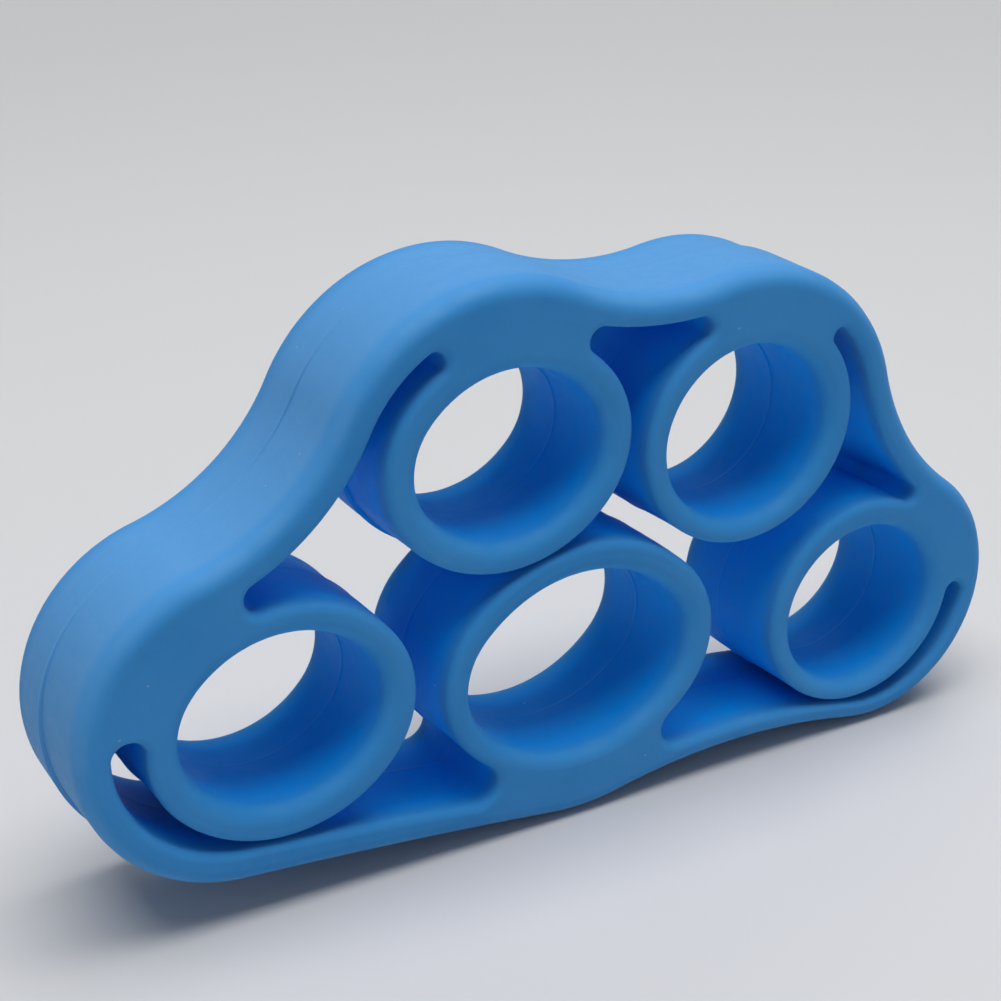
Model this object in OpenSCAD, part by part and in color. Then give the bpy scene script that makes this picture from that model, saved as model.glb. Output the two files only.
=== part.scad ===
// Hand grip strengthener: one soft moulding with five finger loops inside a wavy stretch band.
// X runs across the loops, Z is up, Y is the depth. The moulding stands on its thumb and little
// finger crowns at z = 0, and its front face looks towards -Y.

/* [Moulding] */
// Depth of the moulding from front face to back face
depth = 16.5; // [12:0.1:22]
// Thickness of the stretch band
band_t = 3.4; // [3:0.1:3.6]
// Radius of the moulded edges
edge_r = 1.2; // [0.6:0.1:1.4]
// Length of the anchor in the middle of each span of the band
anchor_len = 2.6; // [2:0.1:4]

/* [Index finger] */
// Middle of the index finger loop, across and up
index_at = [-32.9, 20.2]; // [-60:0.1:60]
// Hole of the loop, half its width and half its height
index_hole = [10.3, 9.0]; // [8:0.1:12]
// Wall of the loop
index_wall = 3.2; // [2.2:0.1:3.4]
// Middle of the crown of the band round the loop, across and up
index_crown_at = [-36.6, 20.8]; // [-60:0.1:60]
// Outer radius of the crown
index_crown_r = 16.5; // [16:0.1:18]
// Directions of the two ends of the root, seen from the middle of the loop
index_root = [95, 175]; // [0:1:360]

/* [Middle finger] */
// Middle of the middle finger loop, across and up
middle_at = [-8.6, 41.6]; // [-60:0.1:60]
// Hole of the loop, half its width and half its height
middle_hole = [10.0, 8.8]; // [8:0.1:12]
// Wall of the loop
middle_wall = 3.1; // [2.2:0.1:3.4]
// Middle of the crown of the band round the loop, across and up
middle_crown_at = [-9.8, 40.0]; // [-60:0.1:60]
// Outer radius of the crown
middle_crown_r = 19.0; // [18:0.1:20]
// Directions of the two ends of the root, seen from the middle of the loop
middle_root = [46, 127]; // [0:1:360]

/* [Ring finger] */
// Middle of the ring finger loop, across and up
ring_at = [19.1, 38.4]; // [-60:0.1:60]
// Hole of the loop, half its width and half its height
ring_hole = [9.7, 9.4]; // [8:0.1:12]
// Wall of the loop
ring_wall = 3.0; // [2.2:0.1:3.4]
// Middle of the crown of the band round the loop, across and up
ring_crown_at = [19.3, 36.9]; // [-60:0.1:60]
// Outer radius of the crown
ring_crown_r = 18.6; // [17.5:0.1:20]
// Directions of the two ends of the root, seen from the middle of the loop
ring_root = [38, 119]; // [0:1:360]

/* [Little finger] */
// Middle of the little finger loop, across and up
little_at = [35.4, 15.4]; // [-60:0.1:60]
// Hole of the loop, half its width and half its height
little_hole = [9.6, 8.8]; // [8:0.1:12]
// Wall of the loop
little_wall = 2.5; // [2.2:0.1:2.6]
// Middle of the crown of the band round the loop, across and up
little_crown_at = [38.1, 15.1]; // [-60:0.1:60]
// Outer radius of the crown, equal to its height so that it stands at z = 0
little_crown_r = 15.1; // [14.8:0.1:16]
// Directions of the two ends of the root, seen from the middle of the loop
little_root = [-9, 66]; // [-90:1:360]

/* [Thumb] */
// Middle of the thumb loop, across and up
thumb_at = [-0.4, 17.2]; // [-60:0.1:60]
// Hole of the loop, half its width and half its height
thumb_hole = [12.5, 10.1]; // [9:0.1:13]
// Wall of the loop
thumb_wall = 3.1; // [2.2:0.1:3.4]
// Middle of the crown of the band under the loop, across and up
thumb_crown_at = [-0.1, 23.1]; // [-60:0.1:60]
// Outer radius of the crown, equal to its height so that it stands at z = 0
thumb_crown_r = 23.1; // [22:0.1:25]
// Directions of the two ends of the root, seen from the middle of the loop
thumb_root = [223, 318]; // [180:1:360]

/* [Spans] */
// Hollow of the band between index and middle finger, outer radius
index_middle_r = 21.8; // [20:0.1:30]
// Hollow of the band between middle and ring finger, outer radius
middle_ring_r = 27.8; // [24:0.1:34]
// Hollow of the band between ring and little finger, outer radius
ring_little_r = 27; // [24:0.1:34]
// Hollow of the band between little finger and thumb, outer radius
little_thumb_r = 62; // [50:1:90]
// Nearly straight band between thumb and index finger, outer radius
thumb_index_r = 500; // [200:10:600]

/* [Hidden] */
$fn = 96;

silicone = [0.24, 0.52, 0.80];
silicone_light = [0.32, 0.60, 0.86];
silicone_deep = [0.18, 0.42, 0.72];

// Fingers in their order round the band, clockwise from the index finger
INDEX = 0;
MIDDLE = 1;
RING = 2;
LITTLE = 3;
THUMB = 4;
loop_at = [index_at, middle_at, ring_at, little_at, thumb_at];
hole = [index_hole, middle_hole, ring_hole, little_hole, thumb_hole];
wall = [index_wall, middle_wall, ring_wall, little_wall, thumb_wall];
crown_at = [index_crown_at, middle_crown_at, ring_crown_at, little_crown_at, thumb_crown_at];
crown_r = [index_crown_r, middle_crown_r, ring_crown_r, little_crown_r, thumb_crown_r];
root = [index_root, middle_root, ring_root, little_root, thumb_root];
hollow_r = [index_middle_r, middle_ring_r, ring_little_r, little_thumb_r, thumb_index_r];

// Shares of each hollow that belong to the two crowns beside it, clockwise
crown_share = [[0.30, 0.02], [0.26, 0.22], [0.02, 0.30], [0.02, 0.28], [0.31, 0.02]];

// The root's faces sit this far behind the band's, so that its edges meet round ones cleanly
root_setback = 0.1;
// The flatter arcs are this much slimmer all round, and end this far inside the tighter ones
seam = 0.03;
seam_overlap = 0.4;
// The rounding of a root's end reaches this far into the walls beside it
root_bite = 0.1;
// Straight steps in an arc that only bounds a root inside the band
arc_steps = 8;

function next(i) = (i + 1) % 5;
function before(i) = (i + 4) % 5;
function polar(middle, r, angle) = middle + r * [cos(angle), sin(angle)];
function direction(from, to) = atan2(to[1] - from[1], to[0] - from[0]);
// An angle brought into the turn that starts at a given angle
function turned(angle, start) = angle + 360 * ceil((start - angle) / 360);

// Middle of the hollow after crown i: the circle that touches that crown and the next from outside
function hollow_at(i) =
    let (
        a = crown_at[i],
        b = crown_at[next(i)],
        reach_a = crown_r[i] + hollow_r[i],
        reach_b = crown_r[next(i)] + hollow_r[i],
        span = norm(b - a),
        along = (span * span + reach_a * reach_a - reach_b * reach_b) / (2 * span),
        aside = sqrt(reach_a * reach_a - along * along),
        u = (b - a) / span
    )
    a + along * u + aside * [-u[1], u[0]];

// Crown i runs counterclockwise from crown_start to crown_end
function crown_start(i) = direction(crown_at[i], hollow_at(i));
function crown_end(i) = turned(direction(crown_at[i], hollow_at(before(i))), crown_start(i));
// Hollow i runs counterclockwise from crown i to the next crown
function hollow_start(i) = direction(hollow_at(i), crown_at[i]);
function hollow_end(i) = turned(direction(hollow_at(i), crown_at[next(i)]), hollow_start(i));
function hollow_angle(i, share) =
    hollow_start(i) + share * (hollow_end(i) - hollow_start(i));

// A length along the middle of hollow i, as a share of it
function share_of(i, length) =
    length / ((hollow_r[i] + band_t / 2) * (hollow_end(i) - hollow_start(i)) * PI / 180);
// The anchor lies in the middle of what the crowns leave free
function anchor_mid(i) = (crown_share[i][0] + 1 - crown_share[i][1]) / 2;
function anchor_from(i) = anchor_mid(i) - share_of(i, anchor_len / 2);
function anchor_to(i) = anchor_mid(i) + share_of(i, anchor_len / 2);

// An oval hole is two side arcs and two flatter arcs that meet smoothly
function side_arc(h) = h[1] * h[1] / h[0];
function flat_arc(h) =
    let (s = side_arc(h))
    ((h[0] - s) * (h[0] - s) + h[1] * h[1] - s * s) / (2 * (h[1] - s));
// Half the angle of a side arc
function side_angle(h) = atan2(flat_arc(h) - h[1], h[0] - side_arc(h));

// Distance from the middle of loop i to its outer face, in a given direction
function loop_reach(i, angle) =
    let (a = hole[i][0] + wall[i], b = hole[i][1] + wall[i])
    1 / sqrt(pow(cos(angle) / a, 2) + pow(sin(angle) / b, 2));

// True where a point lies in the sector of crown i, and not beside one of its hollows
function in_crown(i, p) =
    turned(direction(crown_at[i], p), crown_start(i)) <= crown_end(i);
// The hollow beside crown i that is nearer to a point
function near_hollow(i, p) =
    norm(p - hollow_at(i)) - hollow_r[i] < norm(p - hollow_at(before(i))) - hollow_r[before(i)]
        ? i : before(i);
// Distance from a point near loop i out to the band's inner face
function band_gap(i, p) =
    in_crown(i, p)
        ? crown_r[i] - band_t - norm(p - crown_at[i])
        : norm(p - hollow_at(near_hollow(i, p))) - hollow_r[near_hollow(i, p)] - band_t;
// Radius of the circle that touches loop i, in a given direction, and the band
function end_radius(i, angle, r = 1.5, steps = 12) =
    steps == 0
        ? r
        : end_radius(i, angle,
            (r + band_gap(i, polar(loop_at[i], loop_reach(i, angle) + r, angle))) / 2, steps - 1);
function end_middle(i, angle) =
    polar(loop_at[i], loop_reach(i, angle) + end_radius(i, angle), angle);
// A point straight out across the band from there, well outside it
function end_far(i, angle) =
    let (p = end_middle(i, angle))
    in_crown(i, p)
        ? polar(crown_at[i], 3 * crown_r[i], direction(crown_at[i], p))
        : hollow_at(near_hollow(i, p));

// Points along the middle of the band's thickness, all the way round
function arc_points(middle, r, from, to) =
    [for (k = [0 : arc_steps]) polar(middle, r, from + (to - from) * k / arc_steps)];
function reversed(list) = [for (k = [len(list) - 1 : -1 : 0]) list[k]];
band_middle = [
    for (i = [INDEX : THUMB])
        each concat(
            reversed(arc_points(crown_at[i], crown_r[i] - band_t / 2, crown_start(i), crown_end(i))),
            arc_points(hollow_at(i), hollow_r[i] + band_t / 2, hollow_start(i), hollow_end(i))
        )
];

// Stands a drawing in the plane of the loops up, with its depth along Y
module stand() {
    rotate([90, 0, 0]) children();
}

// Section of a wall with round edges, from radius r outwards
module wall_section(r, thickness, tall) {
    translate([r + edge_r, -tall / 2]) square([thickness - 2 * edge_r, tall]);
    translate([r, edge_r - tall / 2]) square([thickness, tall - 2 * edge_r]);
    for (x = [r + edge_r, r + thickness - edge_r], y = [edge_r - tall / 2, tall / 2 - edge_r])
        translate([x, y]) circle(edge_r, $fn = 24);
}

// Wall that is swept round a middle, from one angle to another
module swept_wall(middle, r, thickness, from, to, tall = depth) {
    stand() translate(middle) rotate(from)
        rotate_extrude(angle = to - from, $fn = max(96, 2 * r)) wall_section(r, thickness, tall);
}

// The same wall, slimmer by the seam
module slim_wall(middle, r, thickness, from, to) {
    swept_wall(middle, r + seam, thickness - 2 * seam, from, to, depth - 2 * seam);
}

// Part of hollow i of the band, given as shares of its length
module hollow_part(i, from, to) {
    slim_wall(hollow_at(i), hollow_r[i], band_t, hollow_angle(i, from), hollow_angle(i, to));
}

// Finger loop: four arcs of wall round an oval hole
module finger_loop(i) {
    h = hole[i];
    half = side_angle(h);
    overlap = seam_overlap / flat_arc(h) * 180 / PI;
    for (side = [0, 180]) {
        swept_wall(loop_at[i] + (h[0] - side_arc(h)) * [cos(side), 0],
            side_arc(h), wall[i], side - half, side + half);
        slim_wall(loop_at[i] + (h[1] - flat_arc(h)) * [0, cos(side)],
            flat_arc(h), wall[i], side + half - overlap, side + 180 - half + overlap);
    }
}

// Disc that ends inside the wall of loop i
module loop_core(i) {
    h = hole[i] + [1, 1] * wall[i] / 2;
    translate(loop_at[i]) {
        for (side = [-1, 1]) translate([side * (h[0] - h[1]), 0]) circle(h[1]);
        square([2 * (h[0] - h[1]), 2 * h[1]], center = true);
    }
}

// Web between loop i and the band, with round ends
module root_outline(i) {
    from = root[i][0];
    to = root[i][1];
    difference() {
        intersection() {
            polygon(band_middle);
            polygon([
                loop_at[i], end_middle(i, from), end_far(i, from),
                polar(loop_at[i], 3 * crown_r[i], (from + to) / 2), end_far(i, to), end_middle(i, to)
            ]);
        }
        loop_core(i);
        for (end = root[i]) translate(end_middle(i, end)) circle(end_radius(i, end) + root_bite);
    }
}

// Crown of the band at loop i, with its share of the hollows and the root
module crown(i) {
    swept_wall(crown_at[i], crown_r[i] - band_t, band_t, crown_start(i), crown_end(i));
    hollow_part(i, -share_of(i, seam_overlap), crown_share[i][0]);
    hollow_part(before(i), 1 - crown_share[before(i)][1], 1 + share_of(before(i), seam_overlap));
    difference() {
        stand() translate([0, 0, root_setback - depth / 2])
            linear_extrude(depth - 2 * root_setback) root_outline(i);
        finger_loop(i);
    }
}

// Anchor in the middle of hollow i
module anchor(i) {
    hollow_part(i, anchor_from(i), anchor_to(i));
}

// Stretch zone of hollow i beside crown i
module stretch_after(i) {
    hollow_part(i, crown_share[i][0], anchor_from(i));
}

// Stretch zone of hollow i beside the next crown
module stretch_before(i) {
    hollow_part(i, anchor_to(i), 1 - crown_share[i][1]);
}

module index_loop() { color(silicone_light) finger_loop(INDEX); }
module middle_loop() { color(silicone_light) finger_loop(MIDDLE); }
module ring_finger_loop() { color(silicone_light) finger_loop(RING); }
module little_loop() { color(silicone_light) finger_loop(LITTLE); }
module thumb_loop() { color(silicone_light) finger_loop(THUMB); }

module index_crown() { color(silicone) crown(INDEX); }
module middle_crown() { color(silicone) crown(MIDDLE); }
module ring_finger_crown() { color(silicone) crown(RING); }
module little_crown() { color(silicone) crown(LITTLE); }
module thumb_crown() { color(silicone) crown(THUMB); }

module anchor_index_middle() { color(silicone) anchor(INDEX); }
module anchor_middle_ring() { color(silicone) anchor(MIDDLE); }
module anchor_ring_little() { color(silicone) anchor(RING); }
module anchor_little_thumb() { color(silicone) anchor(LITTLE); }
module anchor_thumb_index() { color(silicone) anchor(THUMB); }

module stretch_index_to_middle() { color(silicone_deep) stretch_after(INDEX); }
module stretch_middle_to_index() { color(silicone_deep) stretch_before(INDEX); }
module stretch_middle_to_ring() { color(silicone_deep) stretch_after(MIDDLE); }
module stretch_ring_to_middle() { color(silicone_deep) stretch_before(MIDDLE); }
module stretch_ring_to_little() { color(silicone_deep) stretch_after(RING); }
module stretch_little_to_ring() { color(silicone_deep) stretch_before(RING); }
module stretch_little_to_thumb() { color(silicone_deep) stretch_after(LITTLE); }
module stretch_thumb_to_little() { color(silicone_deep) stretch_before(LITTLE); }
module stretch_thumb_to_index() { color(silicone_deep) stretch_after(THUMB); }
module stretch_index_to_thumb() { color(silicone_deep) stretch_before(THUMB); }

index_loop();
index_crown();
stretch_index_to_middle();
anchor_index_middle();
stretch_middle_to_index();
middle_loop();
middle_crown();
stretch_middle_to_ring();
anchor_middle_ring();
stretch_ring_to_middle();
ring_finger_loop();
ring_finger_crown();
stretch_ring_to_little();
anchor_ring_little();
stretch_little_to_ring();
little_loop();
little_crown();
stretch_little_to_thumb();
anchor_little_thumb();
stretch_thumb_to_little();
thumb_loop();
thumb_crown();
stretch_thumb_to_index();
anchor_thumb_index();
stretch_index_to_thumb();
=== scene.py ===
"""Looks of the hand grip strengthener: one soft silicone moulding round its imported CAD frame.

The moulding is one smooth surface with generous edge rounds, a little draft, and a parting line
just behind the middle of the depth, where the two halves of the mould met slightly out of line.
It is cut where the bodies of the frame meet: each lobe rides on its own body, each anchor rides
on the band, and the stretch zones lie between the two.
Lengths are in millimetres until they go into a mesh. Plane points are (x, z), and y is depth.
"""

import math

import bpy
import numpy as np
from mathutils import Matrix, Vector
from mathutils.geometry import tessellate_polygon


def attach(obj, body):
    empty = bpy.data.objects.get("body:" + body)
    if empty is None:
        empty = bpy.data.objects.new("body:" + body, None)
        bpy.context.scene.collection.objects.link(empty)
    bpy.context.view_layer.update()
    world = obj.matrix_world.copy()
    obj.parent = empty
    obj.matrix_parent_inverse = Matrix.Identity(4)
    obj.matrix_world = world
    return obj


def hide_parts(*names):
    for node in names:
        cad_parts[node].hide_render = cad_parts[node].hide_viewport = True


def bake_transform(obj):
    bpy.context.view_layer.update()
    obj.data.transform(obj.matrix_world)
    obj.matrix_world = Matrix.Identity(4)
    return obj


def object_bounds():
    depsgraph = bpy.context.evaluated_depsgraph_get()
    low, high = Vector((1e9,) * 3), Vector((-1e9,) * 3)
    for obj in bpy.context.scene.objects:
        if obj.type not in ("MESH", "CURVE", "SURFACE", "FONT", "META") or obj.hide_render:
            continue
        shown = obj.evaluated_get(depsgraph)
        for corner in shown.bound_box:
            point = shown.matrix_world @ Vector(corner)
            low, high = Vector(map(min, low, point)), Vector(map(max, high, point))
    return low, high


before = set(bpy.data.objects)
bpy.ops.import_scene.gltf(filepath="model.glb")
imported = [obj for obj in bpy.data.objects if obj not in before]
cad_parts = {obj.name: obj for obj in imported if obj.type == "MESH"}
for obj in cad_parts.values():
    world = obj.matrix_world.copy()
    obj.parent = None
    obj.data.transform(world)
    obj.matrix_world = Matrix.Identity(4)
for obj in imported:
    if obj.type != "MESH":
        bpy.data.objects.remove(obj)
cad_low, cad_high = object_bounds()

MM = 0.001

# ---------------------------------------------------------------- outline, lobe by lobe
FINGERS = ["index", "middle", "ring", "little", "thumb"]
BODIES = ["index", "middle", "ring_finger", "little", "thumb"]
LOBES = len(FINGERS)
# Depth of the moulding, thickness of the band on a span, and length of an anchor
DEPTH = round((cad_high[1] - cad_low[1]) / MM, 2)
BAND = 3.4
ANCHOR = 2.6

# Loops: the middle of the outer oval and its wall, then the middle and half axes of the hole
LOOP_AT = [(-32.55, 20.2), (-8.45, 41.95), (19.45, 39.1), (35.85, 15.6), (0.0, 18.0)]
WALL = [3.4, 3.35, 3.1, 2.85, 3.1]
HOLE_AT = [(-32.55, 20.4), (-8.2, 41.75), (19.35, 38.6), (35.95, 15.05), (-0.1, 17.6)]
HOLE = [(10.3, 8.8), (10.15, 8.6), (9.65, 9.25), (9.55, 9.1), (12.7, 9.9)]

# Outer face of the band: each crown's middle and radius, and the radius of the hollow after it
CROWN_AT = [(-36.0, 20.95), (-9.2, 40.35), (19.2, 37.1), (38.45, 15.3), (-0.15, 23.2)]
CROWN_R = [16.75, 19.15, 18.85, 15.0, 22.9]
HOLLOW_R = [22.7, 27.1, 27.6, 70.0, 640.0]
# Inner face of the band, in the same way
INNER_AT = [(-36.45, 21.05), (-9.1, 40.3), (19.3, 37.3), (38.3, 15.05), (0.0, 23.15)]
INNER_R = [12.9, 15.5, 15.5, 12.05, 19.8]
INNER_HOLLOW_R = [24.9, 35.7, 31.0, 76.0, 516.0]

# Directions from each loop's middle to the two slots that end its root, in degrees
ROOT = [(98.0, 177.0), (45.0, 127.0), (37.0, 119.0), (-9.0, 66.0), (222.0, 318.0)]
# Shares of the hollow after each lobe that go with that lobe, and with the next one
CROWN_SHARE = [(0.30, 0.02), (0.26, 0.22), (0.02, 0.30), (0.02, 0.28), (0.31, 0.02)]

# ---------------------------------------------------------------- edges and mould
# Rounds of the front and the back edge
OUTER_ROUND = (1.95, 1.55)
GAP_ROUND = (0.9, 1.05)
BORE_ROUND = (1.75, 1.2)
# What a wall keeps flat of the front and back faces, and how far it leans in by them
FLAT_MARGIN = 0.07
DRAFT = 0.09

# The parting line, its ridge of flash, and how far the back half of the mould was out of line
PARTING = 1.2
OUTER_RIDGE = 0.015
INNER_RIDGE = 0.05
RIDGE_TOP = 0.05
RIDGE_FOOT = 0.1
RIDGE_SHOULDER = 0.6
MISMATCH = np.array([-0.43, -0.3])
# The share of that slip that shows as a step at the parting line
OUTER_STEPPED = 0.85
INNER_STEPPED = 0.05
BORE_STEPPED = 0.2
LOOP_STEPPED = [0.35, 0.65, 0.05, 0.05, 0.2]
# A lobe's wall goes from the band's step to the loop's between these distances from the band
NEAR_BAND, OFF_BAND = 0.6, 3.0

# ---------------------------------------------------------------- fineness of the meshes
# Longest step and turn along a wall, steps in an edge round, and y of the rows between the rounds
STEP = 0.55
STEP_TURN = math.radians(11)
ROUND_STEPS = 6
SIDE_ROWS = [-5.8, -4.0, -1.5, 0.6, 1.0, 1.12, 1.17, 1.23, 1.28, 1.4, 1.8, 3.5, 5.8]
# How closely a slot's end is searched for, and the area of a face that is left out
SEARCH_STEP = 0.1
HALVINGS = 40
TINY_AREA = 1e-9

# Values of the attribute "inside", by the kind of wall
OUTSIDE_WALL = -1.0
BORE_WALL = 0.5
GAP_WALL = 1.0


# ---------------------------------------------------------------- plane curves made of arcs
class Curve:
    """Arcs that meet smoothly: (middle, radius, from, to, side). side is 1 where the material's
    outward normal points away from the arc's middle. A place is the arc's number plus a share."""

    def __init__(self, arcs):
        self.arcs = arcs

    def on(self, k, share):
        """Point and normal at a share of arc k."""
        middle, r, a, b, side = self.arcs[k % len(self.arcs)]
        angle = a + (b - a) * share
        ray = np.array([math.cos(angle), math.sin(angle)])
        return np.array(middle) + r * ray, side * ray

    def point(self, place):
        whole = math.floor(place)
        return self.on(whole, place - whole)[0]

    def nearest(self, q):
        """Place on the curve nearest to q, and its distance."""
        best = None
        for k, (middle, r, a, b, _side) in enumerate(self.arcs):
            to = q - np.array(middle)
            angle = math.atan2(to[1], to[0])
            low, high = min(a, b), max(a, b)
            angle += 2 * math.pi * math.ceil((low - angle) / (2 * math.pi))
            ends = [low, high] + ([angle] if angle <= high else [])
            for x in ends:
                d = float(np.linalg.norm(to - r * np.array([math.cos(x), math.sin(x)])))
                if best is None or d < best[1]:
                    best = (k + (x - a) / (b - a), d)
        return best

    def run(self, u, v):
        """Points and normals from place u to place v, in that direction, both ends included."""
        down = v < u
        knots = list(range(math.floor(min(u, v)) + 1, math.ceil(max(u, v))))
        places = [u] + (knots[::-1] if down else knots) + [v]
        made = []
        for p, q in zip(places, places[1:]):
            k = math.floor((p + q) / 2)
            _middle, r, a, b, _side = self.arcs[k % len(self.arcs)]
            turn = abs((b - a) * (q - p))
            steps = max(1, math.ceil(turn * r / STEP), math.ceil(turn / STEP_TURN))
            made += [self.on(k, p + (q - p) * j / steps - k) for j in range(steps)]
        k = math.floor((places[-2] + places[-1]) / 2)
        return made + [self.on(k, v - k)]


def direction(a, b):
    return math.atan2(b[1] - a[1], b[0] - a[0])


def after(angle, start):
    """The angle in the turn that starts at start."""
    return angle + 2 * math.pi * math.ceil((start - angle) / (2 * math.pi))


def touching(a, reach_a, b, reach_b):
    """The point at those two distances from a and b, on the left of the way from a to b."""
    a, b = np.array(a), np.array(b)
    span = np.linalg.norm(b - a)
    along = (span**2 + reach_a**2 - reach_b**2) / (2 * span)
    aside = math.sqrt(reach_a**2 - along**2)
    u = (b - a) / span
    return a + along * u + aside * np.array([-u[1], u[0]])


def band_face(crowns, radii, hollows, side):
    """One face of the band: five crowns and the hollows that touch them, clockwise from index."""
    middles = []
    for i in range(LOBES):
        j = (i + 1) % LOBES
        middles.append(touching(crowns[i], radii[i] + hollows[i], crowns[j], radii[j] + hollows[i]))
    made = []
    for i in range(LOBES):
        start = direction(crowns[i], middles[i])
        end = after(direction(crowns[i], middles[i - 1]), start)
        made.append((crowns[i], radii[i], end, start, side))
        start = direction(middles[i], crowns[i])
        end = after(direction(middles[i], crowns[(i + 1) % LOBES]), start)
        made.append((middles[i], hollows[i], start, end, -side))
    return Curve(made)


def oval(at, half_axes, wall, side):
    """Four arcs a wall's thickness out from a hole, clockwise where the side is 1."""
    (a, b), (x, z) = half_axes, at
    s = b * b / a
    flat = ((a - s) ** 2 + b * b - s * s) / (2 * (b - s))
    half = math.atan2(flat - b, a - s)
    arcs = [
        ((x + a - s, z), s + wall, half, -half, side),
        ((x, z + flat - b), flat + wall, -half, half - math.pi, side),
        ((x - a + s, z), s + wall, half - math.pi, -half - math.pi, side),
        ((x, z + b - flat), flat + wall, -half - math.pi, half - 2 * math.pi, side),
    ]
    if side < 0:
        arcs = [(middle, r, end, start, side) for middle, r, start, end, _side in arcs[::-1]]
    return Curve(arcs)


BAND_OUTER = band_face(CROWN_AT, CROWN_R, HOLLOW_R, 1)
BAND_INNER = band_face(INNER_AT, INNER_R, INNER_HOLLOW_R, -1)
LOOP_OUTER = [oval(at, axes, wall, 1) for at, axes, wall in zip(LOOP_AT, HOLE, WALL)]
BORE = [oval(at, axes, 0.0, -1) for at, axes in zip(HOLE_AT, HOLE)]


# ---------------------------------------------------------------- slots and cuts
def slot_end(i, angle):
    """Middle and radius of the circle that touches loop i and the band, seen at that angle."""
    ray = np.array([math.cos(angle), math.sin(angle)])
    at = np.array(LOOP_AT[i])

    def lead(t):
        p = at + t * ray
        return BAND_INNER.nearest(p)[1] - LOOP_OUTER[i].nearest(p)[1]

    low = 1 / np.linalg.norm(ray / (np.array(HOLE[i]) + WALL[i]))
    high = low
    while lead(high) > 0:
        high += SEARCH_STEP
    for _ in range(HALVINGS):
        t = (low + high) / 2
        low, high = (t, high) if lead(t) > 0 else (low, t)
    p = at + low * ray
    return p, LOOP_OUTER[i].nearest(p)[1]


def slot_arc(middle, radius, p, q):
    """The arc round a slot's end, counterclockwise from p to q."""
    start = direction(middle, p)
    end = after(direction(middle, q), start)
    return Curve([(tuple(middle), radius, start, end, -1)]).run(0, 1)


def lobe_cuts(i):
    """The places on the band where lobe i starts and ends."""
    return 2 * i - CROWN_SHARE[i - 1][1], 2 * i + 1 + CROWN_SHARE[i][0]


def gap_chain(i):
    """The open side of lobe i: band, slot end, round the loop, other slot end, band."""
    lobe_from, lobe_to = lobe_cuts(i)
    loop, turn = LOOP_OUTER[i], len(BAND_INNER.arcs)
    slots = [slot_end(i, math.radians(angle)) for angle in ROOT[i]]
    on_band, on_loop = [], []
    for middle, _radius in slots:
        place = BAND_INNER.nearest(middle)[0]
        on_band.append(place + turn * round((2 * i + 0.5 - place) / turn))
        on_loop.append(loop.nearest(middle)[0])
    if on_loop[1] < on_loop[0]:
        on_loop[1] += len(loop.arcs)
    band_ends = [BAND_INNER.point(place) for place in on_band]
    loop_ends = [loop.point(place) for place in on_loop]
    made = BAND_INNER.run(lobe_to, on_band[0])
    made += slot_arc(*slots[0], band_ends[0], loop_ends[0])[1:]
    made += loop.run(*on_loop)[1:]
    made += slot_arc(*slots[1], loop_ends[1], band_ends[1])[1:]
    made += BAND_INNER.run(on_band[1], lobe_from)[1:]
    return made


# ---------------------------------------------------------------- profile of a wall
def ridge_share(off):
    """The height of the ridge of flash at a distance from the parting line, as a share."""
    if off < RIDGE_TOP:
        return 1.0
    return RIDGE_SHOULDER if off < RIDGE_FOOT else 0.0


def wall_profile(rounds, ridge):
    """Rows of a wall from front to back: inset from the face, and y."""
    half = DEPTH / 2
    front, back = rounds
    turns = [math.pi / 2 * k / ROUND_STEPS for k in range(ROUND_STEPS + 1)]
    rows = [(front + FLAT_MARGIN, -half)]
    rows += [(front * (1 - math.sin(t)), -half + front * (1 - math.cos(t))) for t in turns]
    rows += [(-ridge * ridge_share(abs(y - PARTING)), y) for y in SIDE_ROWS]
    rows += [(back * (1 - math.sin(t)), half - back * (1 - math.cos(t))) for t in turns[::-1]]
    rows.append((back + FLAT_MARGIN, half))
    return rows


def room(p, faces, rounds):
    """The share of its front and back rounds that a wall has at p, by its other faces."""
    spare = 2 * (FLAT_MARGIN + DRAFT)
    reach = [face.nearest(p)[1] - spare for face in faces]
    shares = []
    for side in (0, 1):
        fits = (t / (mine[side] + others[side]) for t, (mine, others) in zip(reach, rounds))
        shares.append(min(1.0, *fits))
    return shares


def smooth(x, low, high):
    """0 below low, 1 above high, and an even turn between."""
    t = min(1.0, max(0.0, (x - low) / (high - low)))
    return t * t * (3 - 2 * t)


def slip(y, stepped):
    """How far a wall has gone over to the back half of the mould at y: stepped is the share that
    goes at once at the parting line, and the rest goes evenly through the depth."""
    jump = 1.0 if y > PARTING else 0.0
    return MISMATCH * (stepped * jump + (1 - stepped) * smooth(y, SIDE_ROWS[0], SIDE_ROWS[-1]))


def tilts(rows, offsets):
    """A wall's normals by row, as shares across the wall and through the depth."""
    made = []
    last = len(rows) - 1
    for k, (_inset, y) in enumerate(rows):
        if k in (0, 1, last - 1, last):
            made.append((0.0, math.copysign(1.0, y)))
            continue
        run, rise = rows[k + 1][1] - rows[k - 1][1], offsets[k + 1] - offsets[k - 1]
        length = math.hypot(run, rise)
        made.append((run / length, -rise / length))
    return made


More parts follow.
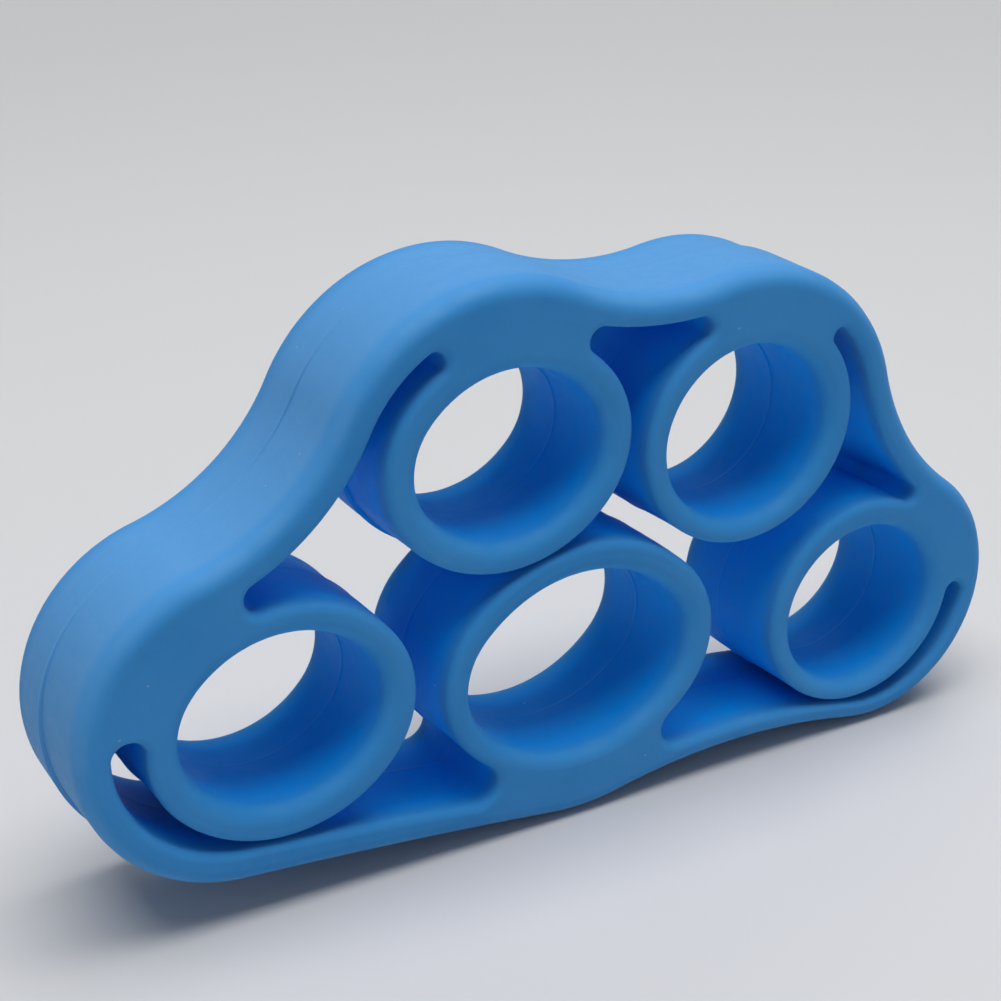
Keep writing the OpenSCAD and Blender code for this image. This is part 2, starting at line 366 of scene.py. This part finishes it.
# ---------------------------------------------------------------- meshes
class Builder:
    """Collects the points, faces and corner normals of one piece."""

    def __init__(self):
        self.points, self.faces, self.normals, self.inside = [], [], [], []

    def wall(self, chain, own, ridge, faces, others, stepped, inside, closed=False):
        """A wall swept along a chain, with its own rounds. faces are the faces behind it, and others
        the pairs of rounds that share the room to each. stepped holds a share for each place.
        Returns the index of each point, by place and row."""
        rows = wall_profile(own, ridge)
        first = len(self.points)
        leans = []
        for (p, n), step in zip(chain, stepped):
            shares = room(p, faces, others)
            offsets = []
            for inset, y in rows:
                share = shares[0 if y < 0 else 1] if inset > 0 else 1.0
                inset = inset * share + DRAFT * abs(y) / (DEPTH / 2)
                moved = slip(y, step)
                q = p - n * inset + moved
                offsets.append(float(n @ moved) - inset)
                self.points.append((q[0], y, q[1]))
                self.inside.append(inside)
            leans.append(tilts(rows, offsets))
        many, places = len(rows), len(chain)
        grid = [[first + j * many + k for k in range(many)] for j in range(places)]
        for j in range(places if closed else places - 1):
            here, there = j, (j + 1) % places
            for k in range(many - 1):
                corners = [(here, k), (there, k), (there, k + 1), (here, k + 1)]
                self.faces.append([grid[place][row] for place, row in corners])
                for place, row in corners:
                    n = chain[place][1]
                    across, depth = leans[place][row]
                    self.normals.append((n[0] * across, depth, n[1] * across))
        return grid

    def flat(self, rings, back):
        """A flat face between rings of points: the first is its outline, the others are holes."""
        loops = []
        for ring in rings:
            loops.append([Vector((self.points[v][0], self.points[v][2], 0.0)) for v in ring])
        flatwise = [v for ring in rings for v in ring]
        for a, b, c in tessellate_polygon(loops):
            pa, pb, pc = (self.points[flatwise[x]] for x in (a, b, c))
            area = (pb[0] - pa[0]) * (pc[2] - pa[2]) - (pb[2] - pa[2]) * (pc[0] - pa[0])
            if abs(area) < TINY_AREA:
                continue
            if (area > 0) == back:
                b, c = c, b
            self.faces.append([flatwise[x] for x in (a, b, c)])
            self.normals += [(0.0, 1.0 if back else -1.0, 0.0)] * 3

    def cap(self, outer, inner, flip):
        """Closes a cut across the band, between the rows of its two faces. The rows on the front
        and back faces only edge it, so that none of it lies in those faces."""
        last = len(outer) - 1
        for k in range(1, last - 1):
            corners = (outer[k], outer[k + 1], inner[k + 1], inner[k])
            a, b, c, d = (np.array(self.points[v]) for v in corners)
            n = np.cross(c - a, d - b)
            front = [inner[0], outer[0]] if k == 1 else []
            back = [outer[last], inner[last]] if k == last - 2 else []
            face = [outer[k], outer[k + 1], *back, inner[k + 1], inner[k], *front]
            if flip:
                face.reverse()
                n = -n
            self.faces.append(face)
            self.normals += [tuple(n / np.linalg.norm(n))] * len(face)

    def object(self, name, material):
        mesh = bpy.data.meshes.new(name)
        mesh.from_pydata([tuple(c * MM for c in p) for p in self.points], [], self.faces)
        mesh.polygons.foreach_set("use_smooth", [True] * len(mesh.polygons))
        rest = mesh.attributes.new("rest", "FLOAT_VECTOR", "POINT")
        rest.data.foreach_set("vector", [c for p in self.points for c in p])
        inside = mesh.attributes.new("inside", "FLOAT", "POINT")
        inside.data.foreach_set("value", self.inside)
        mesh.update()
        mesh.normals_split_custom_set(self.normals)
        mesh.materials.append(material)
        made = bpy.data.objects.new(name, mesh)
        bpy.context.scene.collection.objects.link(made)
        return made


def loop_steps(gap, most):
    """The stepped share along a gap's chain: the band's own beside it, and most on the loop."""
    steps = []
    for p, _n in gap:
        free = smooth(BAND_INNER.nearest(p)[1], NEAR_BAND, OFF_BAND)
        steps.append(INNER_STEPPED + (most - INNER_STEPPED) * free)
    return steps


def section(cut_from, cut_to, gap, material, name, bore=None):
    """One piece of the moulding, cut across the band at two places, with or without a loop."""
    b = Builder()
    band_rounds, loop_rounds = (OUTER_ROUND, GAP_ROUND), (GAP_ROUND, BORE_ROUND)
    outline = BAND_OUTER.run(cut_from, cut_to)
    steps = [OUTER_STEPPED] * len(outline)
    outer = b.wall(
        outline, OUTER_ROUND, OUTER_RIDGE, [BAND_INNER], [band_rounds], steps, OUTSIDE_WALL
    )
    near, most = [BAND_OUTER], INNER_STEPPED
    if bore is not None:
        near, most = [BAND_OUTER, BORE[bore]], LOOP_STEPPED[bore]
    steps = loop_steps(gap, most)
    inner = b.wall(gap, GAP_ROUND, INNER_RIDGE, near, [band_rounds, loop_rounds], steps, GAP_WALL)
    holes = []
    if bore is not None:
        rim = BORE[bore].run(0, len(BORE[bore].arcs))[:-1]
        steps = [BORE_STEPPED] * len(rim)
        near = [LOOP_OUTER[bore]]
        holes.append(
            b.wall(rim, BORE_ROUND, INNER_RIDGE, near, [loop_rounds], steps, BORE_WALL, closed=True)
        )
    for row, back in ((0, False), (-1, True)):
        rings = [[place[row] for place in outer + inner]]
        rings += [[place[row] for place in hole] for hole in holes]
        b.flat(rings, back)
    b.cap(outer[0], inner[-1], False)
    b.cap(outer[-1], inner[0], True)
    return b.object(name, material)


# ---------------------------------------------------------------- materials
class Shader:
    """A material and short calls for its nodes."""

    def __init__(self, name):
        self.material = bpy.data.materials.new(name)
        self.material.use_nodes = True
        self.tree = self.material.node_tree
        self.tree.nodes.clear()

    def add(self, kind):
        return self.tree.nodes.new(kind)

    def link(self, output, target):
        self.tree.links.new(output, target)

    def attribute(self, name):
        node = self.add("ShaderNodeAttribute")
        node.attribute_type = "GEOMETRY"
        node.attribute_name = name
        return node

    def noise(self, vector, scale, detail, rough=0.5):
        node = self.add("ShaderNodeTexNoise")
        node.inputs["Scale"].default_value = scale
        node.inputs["Detail"].default_value = detail
        node.inputs["Roughness"].default_value = rough
        self.link(vector, node.inputs["Vector"])
        return node.outputs["Fac"]

    def ranged(self, value, low, high, to_low, to_high):
        """to_low below low, to_high above high, and an even turn between."""
        node = self.add("ShaderNodeMapRange")
        node.interpolation_type = "SMOOTHSTEP"
        sockets = ("From Min", "From Max", "To Min", "To Max")
        for socket, number in zip(sockets, (low, high, to_low, to_high)):
            node.inputs[socket].default_value = number
        self.link(value, node.inputs["Value"])
        return node.outputs["Result"]

    def math(self, operation, *values):
        node = self.add("ShaderNodeMath")
        node.operation = operation
        for socket, value in zip(node.inputs, values):
            if isinstance(value, (int, float)):
                socket.default_value = value
            else:
                self.link(value, socket)
        return node.outputs[0]

    def times(self, *values):
        product = values[0]
        for value in values[1:]:
            product = self.math("MULTIPLY", product, value)
        return product

    def distance(self, value, centre):
        return self.math("ABSOLUTE", self.math("SUBTRACT", value, centre))

    def mixed(self, factor, a, b):
        """Colour a where the factor is 0, and b where it is 1."""
        node = self.add("ShaderNodeMix")
        node.data_type = "RGBA"
        self.link(factor, node.inputs["Factor"])
        for name, value in (("A", a), ("B", b)):
            socket = next(s for s in node.inputs if s.name == name and s.type == "RGBA")
            if isinstance(value, tuple):
                socket.default_value = (*value, 1)
            else:
                self.link(value, socket)
        return next(s for s in node.outputs if s.type == "RGBA")

    def bump(self, height, strength, distance, under=None):
        """Bumps of a height in metres, over those of another bump where one is given."""
        node = self.add("ShaderNodeBump")
        node.inputs["Strength"].default_value = strength
        node.inputs["Distance"].default_value = distance
        self.link(height, node.inputs["Height"])
        if under is not None:
            self.link(under, node.inputs["Normal"])
        return node.outputs["Normal"]

    def finish(self, output):
        self.link(output, self.add("ShaderNodeOutputMaterial").inputs["Surface"])
        return self.material


# Colours of the silicone
PIGMENT_DARK = (0.040, 0.258, 0.625)
PIGMENT_LIGHT = (0.056, 0.294, 0.676)
# The band's outer face: a paler blue, painted sheen
OUTSIDE_SHEEN_BLUE = (0.106, 0.326, 0.665)
# Holes and gaps: painted light, scattered and bounced inside them
BORE_BOUNCE_BLUE = (0.000, 0.325, 0.880)
GAP_BOUNCE_BLUE = (0.000, 0.380, 1.000)
MOTTLE_BLUE = (0.070, 0.315, 0.690)
GRAIN_BLUE = (0.010, 0.205, 0.560)
# The edge rounds: a painted highlight
EDGE_HIGHLIGHT_BLUE = (0.120, 0.345, 0.660)
GLOW_BLUE = (0.010, 0.290, 0.700)
# Line of flash: its own paler blue, partly a painted highlight
FLASH_AND_GLINT_BLUE = (0.120, 0.430, 0.840)
DUST_GREY = (0.42, 0.52, 0.62)
# How much the mottle and the grain show
MOTTLE, GRAIN = 0.14, 0.12
# The line of flash is drawn just behind the ridge, this far
FLASH_BEHIND = 0.14


def flash_and_glint_line(shader, vector, across, depth, height, where):
    """How much the line of flash and its painted highlight show: less on top and to the right, but
    clearly in the holes.
    """
    off = shader.distance(depth, PARTING + FLASH_BEHIND)
    line = shader.ranged(off, 0.05, 0.2, 1.0, 0.0)
    broken = shader.ranged(shader.noise(vector, 0.12, 2), 0.38, 0.6, 0.2, 0.6)
    low_down = shader.ranged(height, 26.0, 48.0, 1.0, 0.12)
    in_hole = shader.ranged(shader.distance(where, BORE_WALL), 0.0, 0.2, 0.9, 0.0)
    to_left = shader.ranged(across, -22.0, 0.0, 1.0, 0.3)
    return shader.times(line, broken, low_down, shader.math("MAXIMUM", in_hole, to_left))


def dust_specks(shader, vector):
    """A few specks, where rare patches of a noise meet the middles of a cell pattern."""
    cells = shader.add("ShaderNodeTexVoronoi")
    cells.inputs["Scale"].default_value = 0.35
    shader.link(vector, cells.inputs["Vector"])
    speck = shader.ranged(cells.outputs["Distance"], 0.030, 0.055, 0.55, 0.0)
    rare = shader.ranged(shader.noise(vector, 0.9, 0), 0.60, 0.66, 0.0, 1.0)
    return shader.times(speck, rare)


def silicone_material():
    """Matt blue silicone. Its patterns lie in the moulding's own millimetres at rest."""
    shader = Shader("silicone")
    mixed, ranged, times = shader.mixed, shader.ranged, shader.times
    vector = shader.attribute("rest").outputs["Vector"]
    where = shader.attribute("inside").outputs["Fac"]
    split = shader.add("ShaderNodeSeparateXYZ")
    shader.link(vector, split.inputs["Vector"])
    across, depth, height = (split.outputs[axis] for axis in "XYZ")
    off_middle = shader.math("ABSOLUTE", depth)

    # Pigment, a little cloudy
    cloud = ranged(shader.noise(vector, 0.045, 3), 0.3, 0.7, 0.0, 1.0)
    colour = mixed(cloud, PIGMENT_DARK, PIGMENT_LIGHT)
    # Between the edge rounds the band's outer face is paler: a painted sheen, standing in for the
    # whitish light its tops catch
    within = ranged(off_middle, 5.0, 8.0, 1.0, 0.0)
    outside = ranged(where, OUTSIDE_WALL, 0.0, 1.0, 0.0)
    colour = mixed(times(outside, within), colour, OUTSIDE_SHEEN_BLUE)
    # The holes and the gaps are a brighter, deeper blue between the rounds: painted light, scattered
    # through the silicone and bounced round inside them
    painted_pit_light = mixed(ranged(where, BORE_WALL, GAP_WALL, 0.0, 1.0), BORE_BOUNCE_BLUE, GAP_BOUNCE_BLUE)
    inside = ranged(where, 0.0, 0.4, 0.0, 1.0)
    colour = mixed(times(inside, within), colour, painted_pit_light)
    # Mottle and grain
    mottle = ranged(shader.noise(vector, 0.5, 4, 0.6), 0.3, 0.7, 0.0, 1.0)
    colour = mixed(times(mottle, MOTTLE), colour, MOTTLE_BLUE)
    grain = ranged(shader.noise(vector, 5.0, 2, 0.7), 0.3, 0.7, 0.0, 1.0)
    colour = mixed(times(grain, GRAIN), colour, GRAIN_BLUE)
    # Paler on the rounds of the edges, broken up by a noise: a painted highlight where they catch the
    # light
    rounds = times(ranged(off_middle, 6.4, 7.4, 0.0, 1.0), ranged(off_middle, 7.7, 8.2, 1.0, 0.0))
    painted_edge_highlight = ranged(shader.noise(vector, 0.22, 4), 0.3, 0.75, 0.15, 0.5)
    colour = mixed(times(rounds, painted_edge_highlight), colour, EDGE_HIGHLIGHT_BLUE)
    # Light bleeds through the thin edges of the gaps and the holes
    rims = times(ranged(off_middle, 5.4, 7.2, 0.0, 0.35), ranged(off_middle, 7.8, 8.24, 1.0, 0.0))
    colour = mixed(times(rims, inside), colour, GLOW_BLUE)
    # A thin paler line of flash, partly a painted highlight on its ridge, and dust
    line = flash_and_glint_line(shader, vector, across, depth, height, where)
    colour = mixed(line, colour, FLASH_AND_GLINT_BLUE)
    colour = mixed(dust_specks(shader, vector), colour, DUST_GREY)

    fine = shader.bump(shader.noise(vector, 9.0, 3, 0.65), 0.16, 0.00008)
    waves = shader.bump(shader.noise(vector, 0.22, 2, 0.4), 0.30, 0.00030, under=fine)
    surface = shader.add("ShaderNodeBsdfPrincipled")
    shader.link(colour, surface.inputs["Base Color"])
    gloss = ranged(shader.noise(vector, 0.8, 3), 0.25, 0.75, 0.52, 0.66)
    shader.link(gloss, surface.inputs["Roughness"])
    shader.link(waves, surface.inputs["Normal"])
    surface.inputs["Specular IOR Level"].default_value = 0.12
    surface.inputs["IOR"].default_value = 1.41
    return shader.finish(surface.outputs["BSDF"])


SILICONE = silicone_material()


# ---------------------------------------------------------------- the moulding
# How far inside a stretch zone, from each end, a point on the band's middle is taken
BLEND_MARGIN = 0.45


def share_of_hollow(i, length):
    """A length along the middle of the hollow after lobe i, as a share of that hollow."""
    start, end = BAND_OUTER.arcs[2 * i + 1][2:4]
    return length / ((HOLLOW_R[i] + BAND / 2) * abs(end - start))


def middle_point(place):
    """The middle of the band's thickness at a place, in metres."""
    p = (BAND_OUTER.point(place) + BAND_INNER.point(place)) / 2
    return (p[0] * MM, 0.0, p[1] * MM)


def strip(cut_from, cut_to, name):
    """A piece of the band alone."""
    return section(cut_from, cut_to, BAND_INNER.run(cut_to, cut_from), SILICONE, name)


def anchor_cuts(i):
    """The places on the band where the anchor after lobe i starts and ends."""
    mine, following = CROWN_SHARE[i]
    middle = 2 * i + 1 + (mine + 1 - following) / 2
    half = share_of_hollow(i, ANCHOR / 2)
    return middle - half, middle + half


def add_lobe(i):
    """Loop, root and crown of one finger in one piece."""
    lobe = section(*lobe_cuts(i), gap_chain(i), SILICONE, FINGERS[i] + "_lobe", bore=i)
    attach(lobe, BODIES[i])
    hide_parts(BODIES[i] + "_loop", BODIES[i] + "_crown")


def add_anchor(i, node):
    """The still middle of the span after lobe i."""
    anchor = strip(*anchor_cuts(i), node + "_span")
    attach(anchor, "band")
    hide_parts(node)


def add_stretch(i, still, moving, node):
    """A stretch zone in the hollow after lobe i, from its end at the anchor to that at a lobe."""
    zone = strip(min(still, moving), max(still, moving), node + "_span")
    margin = math.copysign(share_of_hollow(i, BLEND_MARGIN), moving - still)
    middle_point(still + margin)
    middle_point(moving - margin)
    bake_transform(zone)
    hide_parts(node)


for i, finger in enumerate(FINGERS):
    j = (i + 1) % LOBES
    following = FINGERS[j]
    anchor_from, anchor_to = anchor_cuts(i)
    next_lobe = 2 * i + 2 - CROWN_SHARE[i][1]
    add_lobe(i)
    add_anchor(i, "anchor_" + finger + "_" + following)
    add_stretch(i, anchor_from, lobe_cuts(i)[1], "stretch_" + finger + "_to_" + following)
    add_stretch(i, anchor_to, next_lobe, "stretch_" + following + "_to_" + finger)


# ---------------------------------------------------------------- studio, in metres
FLOOR_GREY = (0.66, 0.66, 0.67)
FAR_GREY = (0.60, 0.61, 0.62)
FADE_FROM, FADE_TO = 0.12, 0.9
SWEEP_STEPS = 12
AIM = (0.0, 0.0, 0.03)


def floor_material():
    """A matt floor that takes the object's shadow, and far off is an even pale grey to the camera."""
    shader = Shader("studio_floor")
    surface = shader.add("ShaderNodeBsdfPrincipled")
    surface.inputs["Base Color"].default_value = (*FLOOR_GREY, 1)
    surface.inputs["Roughness"].default_value = 0.7
    surface.inputs["Specular IOR Level"].default_value = 0.2
    even = shader.add("ShaderNodeEmission")
    even.inputs["Color"].default_value = (*FAR_GREY, 1)
    away = shader.add("ShaderNodeVectorMath")
    away.operation = "LENGTH"
    shader.link(shader.add("ShaderNodeNewGeometry").outputs["Position"], away.inputs[0])
    fade = shader.ranged(away.outputs["Value"], FADE_FROM, FADE_TO, 0.0, 1.0)
    seen = shader.add("ShaderNodeLightPath").outputs["Is Camera Ray"]
    mix = shader.add("ShaderNodeMixShader")
    shader.link(shader.times(fade, seen), mix.inputs["Fac"])
    shader.link(surface.outputs["BSDF"], mix.inputs[1])
    shader.link(even.outputs["Emission"], mix.inputs[2])
    return shader.finish(mix.outputs["Shader"])


def sweep(name, reach, back, curve, height, material):
    """A floor that curves up into a wall behind the object."""
    line = [(-reach, 0.0), (back - curve, 0.0)]
    for k in range(1, SWEEP_STEPS + 1):
        turn = math.pi / 2 * k / SWEEP_STEPS
        line.append((back - curve + curve * math.sin(turn), curve * (1 - math.cos(turn))))
    line.append((back, height))
    mesh = bpy.data.meshes.new(name)
    points = [(x, y, z) for y, z in line for x in (-reach, reach)]
    faces = [(2 * k, 2 * k + 1, 2 * k + 3, 2 * k + 2) for k in range(len(line) - 1)]
    mesh.from_pydata(points, [], faces)
    mesh.polygons.foreach_set("use_smooth", [True] * len(mesh.polygons))
    mesh.materials.append(material)
    made = bpy.data.objects.new(name, mesh)
    bpy.context.scene.collection.objects.link(made)


def area_light(name, at, size, power):
    """A white softbox that looks at the object."""
    data = bpy.data.lights.new(name, "AREA")
    data.shape = "RECTANGLE"
    data.size, data.size_y = size
    data.energy = power
    made = bpy.data.objects.new(name, data)
    bpy.context.scene.collection.objects.link(made)
    made.location = at
    made.rotation_mode = "QUATERNION"
    made.rotation_quaternion = (Vector(AIM) - Vector(at)).to_track_quat("-Z", "Y")


def studio_world():
    """Soft light from all round. The camera sees the same pale grey as on the far floor."""
    world = bpy.data.worlds.new("studio")
    bpy.context.scene.world = world
    world.use_nodes = True
    nodes, link = world.node_tree.nodes, world.node_tree.links.new
    lit = nodes["Background"]
    lit.inputs["Color"].default_value = (0.93, 0.96, 1.0, 1)
    lit.inputs["Strength"].default_value = 0.19
    seen = nodes.new("ShaderNodeBackground")
    seen.inputs["Color"].default_value = (*FAR_GREY, 1)
    choice = nodes.new("ShaderNodeMixShader")
    link(nodes.new("ShaderNodeLightPath").outputs["Is Camera Ray"], choice.inputs["Fac"])
    link(lit.outputs["Background"], choice.inputs[1])
    link(seen.outputs["Background"], choice.inputs[2])
    link(choice.outputs["Shader"], nodes["World Output"].inputs["Surface"])


sweep("studio_sweep", reach=4.0, back=1.6, curve=0.8, height=4.0, material=floor_material())
area_light("softbox_top", (0.0, -0.06, 0.80), (0.9, 0.5), 6.5)
area_light("softbox_front", (-0.1, -1.1, 0.38), (1.3, 0.9), 0.4)
area_light("softbox_left", (-1.0, 0.0, 0.35), (0.4, 0.5), 0.3)
area_light("softbox_back", (0.5, 0.65, 0.80), (0.8, 0.5), 1.5)
studio_world()

# ---------------------------------------------------------------- camera, in metres and degrees
CAMERA_AT = (-0.09593, -0.15611, 0.11530)
CAMERA_TURN = (65.707, -0.163, -30.081)
FOCAL_PIXELS, PICTURE_PIXELS, SENSOR = 2000, 1001, 36.0
NEAREST, FARTHEST = 0.005, 50
camera = bpy.data.cameras.new("camera")
camera.sensor_width = SENSOR
camera.lens = FOCAL_PIXELS / PICTURE_PIXELS * SENSOR
camera.clip_start, camera.clip_end = NEAREST, FARTHEST
camera_object = bpy.data.objects.new("camera", camera)
bpy.context.scene.collection.objects.link(camera_object)
camera_object.location = CAMERA_AT
camera_object.rotation_euler = [math.radians(degrees) for degrees in CAMERA_TURN]
bpy.context.scene.camera = camera_object

bpy.context.scene.view_settings.view_transform = "Standard"
